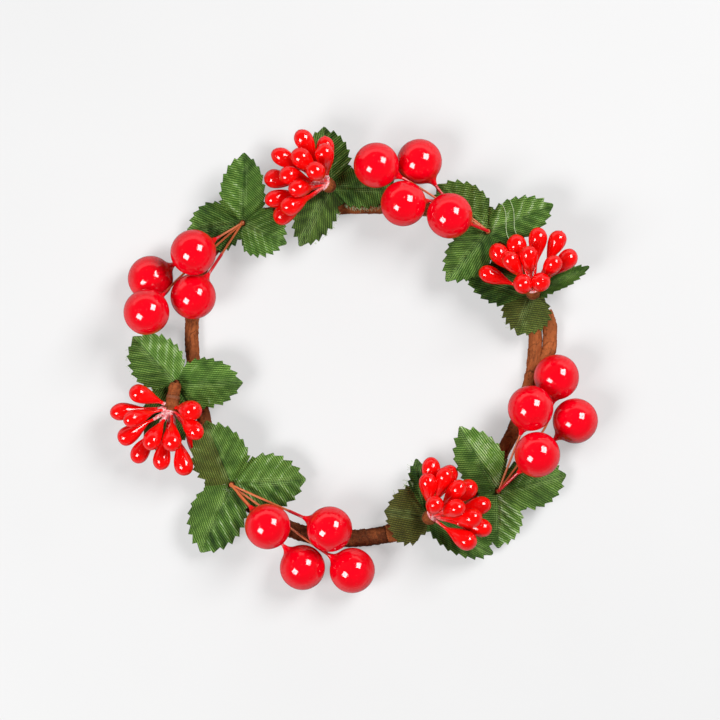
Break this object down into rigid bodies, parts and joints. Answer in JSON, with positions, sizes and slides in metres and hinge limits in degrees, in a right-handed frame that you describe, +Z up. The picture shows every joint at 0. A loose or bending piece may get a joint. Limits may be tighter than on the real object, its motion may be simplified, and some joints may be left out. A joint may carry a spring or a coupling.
{
  "type": "candle ring",
  "caption": "Candle ring: paper-taped wire ring with bendable picks of red berries and red stamen bunches, each through a green trefoil cloth leaf.",
  "frame": {"origin": "on the table, under the middle of the whole ring's bounding box", "axes": "+Z up from the table, +X to the right and +Y away in the picture's view from above"},
  "size_m": [0.1292, 0.1232, 0.0233],
  "materials": {
    "stem_tape": "crinkled brown paper tape, slightly waxy",
    "bare_wire": "plain iron wire, hidden in the tape",
    "leaf_cloth": "stiffened ribbed polyester cloth, green",
    "sprig_wire": "thin lacquered wire, red-brown",
    "berry": "high gloss red lacquer",
    "pip": "gloss red lacquer over thread",
    "thread": "white cotton thread"
  },
  "bodies": {
    "root": {"ring_core_wire": "bare_wire", "overlap_tail_tape": "stem_tape", "overlap_tail_wire": "bare_wire", "upper_right_stem": "stem_tape", "top_stem": "stem_tape", "upper_left_stem": "stem_tape", "left_stem": "stem_tape", "lower_left_stem": "stem_tape", "bottom_stem": "stem_tape", "lower_right_stem": "stem_tape", "right_stem": "stem_tape", "right_stamen_pick_stem": "stem_tape", "top_berry_pick_stem": "stem_tape", "top_stamen_pick_stem": "stem_tape", "left_berry_pick_stem": "stem_tape", "left_stamen_pick_stem": "stem_tape", "bottom_berry_pick_stem": "stem_tape", "bottom_stamen_pick_stem": "stem_tape", "right_berry_pick_stem": "stem_tape", "right_stamen_leaf": "leaf_cloth", "top_berry_leaf": "leaf_cloth", "top_stamen_leaf": "leaf_cloth", "left_berry_leaf": "leaf_cloth", "left_stamen_leaf": "leaf_cloth", "bottom_berry_leaf": "leaf_cloth", "bottom_stamen_leaf": "leaf_cloth", "right_berry_leaf": "leaf_cloth"},
    "top_sprig": {"top_sprig_wires": "sprig_wire", "top_berry_1": "berry", "top_berry_2": "berry", "top_berry_3": "berry", "top_berry_4": "berry"},
    "left_sprig": {"left_sprig_wires": "sprig_wire", "left_berry_1": "berry", "left_berry_2": "berry", "left_berry_3": "berry", "left_berry_4": "berry"},
    "right_sprig": {"right_sprig_wires": "sprig_wire", "right_berry_1": "berry", "right_berry_2": "berry", "right_berry_3": "berry", "right_berry_4": "berry"},
    "bottom_sprig": {"bottom_sprig_wires": "sprig_wire", "bottom_berry_1": "berry", "bottom_berry_2": "berry", "bottom_berry_3": "berry", "bottom_berry_4": "berry"},
    "right_bunch": {"right_bunch_neck": "stem_tape", "right_bunch_thread": "thread", "right_stamens": "pip"},
    "top_bunch": {"top_bunch_neck": "stem_tape", "top_bunch_thread": "thread", "top_stamens": "pip"},
    "left_bunch": {"left_bunch_neck": "stem_tape", "left_bunch_thread": "thread", "left_stamens": "pip"},
    "bottom_bunch": {"bottom_bunch_neck": "stem_tape", "bottom_bunch_thread": "thread", "bottom_stamens": "pip"}
  },
  "joints": [
    {"name": "top_sprig_bend", "type": "hinge", "parent": "root", "child": "top_sprig", "pos_m": [0.03545, 0.03433, 0.0067], "axis": [0.5299, 0.848, 0], "range_deg": [0, 30]},
    {"name": "left_sprig_bend", "type": "hinge", "parent": "root", "child": "left_sprig", "pos_m": [-0.02967, 0.03648, 0.0067], "axis": [-0.454, 0.891, 0], "range_deg": [0, 30]},
    {"name": "right_sprig_bend", "type": "hinge", "parent": "root", "child": "right_sprig", "pos_m": [0.03815, -0.03458, 0.0067], "axis": [0.8191, -0.5736, 0], "range_deg": [0, 30]},
    {"name": "bottom_sprig_bend", "type": "hinge", "parent": "root", "child": "bottom_sprig", "pos_m": [-0.0326, -0.03288, 0.0067], "axis": [-0.809, -0.5878, 0], "range_deg": [0, 30]},
    {"name": "right_bunch_bend", "type": "hinge", "parent": "root", "child": "right_bunch", "pos_m": [0.04727, 0.01797, 0.0069], "axis": [0.9848, 0.1736, 0], "range_deg": [0, 15]},
    {"name": "top_bunch_bend", "type": "hinge", "parent": "root", "child": "top_bunch", "pos_m": [-0.00666, 0.04627, 0.0069], "axis": [-0.0523, 0.9986, 0], "range_deg": [0, 15]},
    {"name": "left_bunch_swivel", "type": "hinge", "parent": "root", "child": "left_bunch", "pos_m": [-0.04724, -0.00588, 0.0069], "axis": [0, 0, -1], "range_deg": [0, 15]},
    {"name": "bottom_bunch_swivel", "type": "hinge", "parent": "root", "child": "bottom_bunch", "pos_m": [0.01974, -0.04153, 0.0069], "axis": [0, 0, 1], "range_deg": [0, 15]}
  ]
}
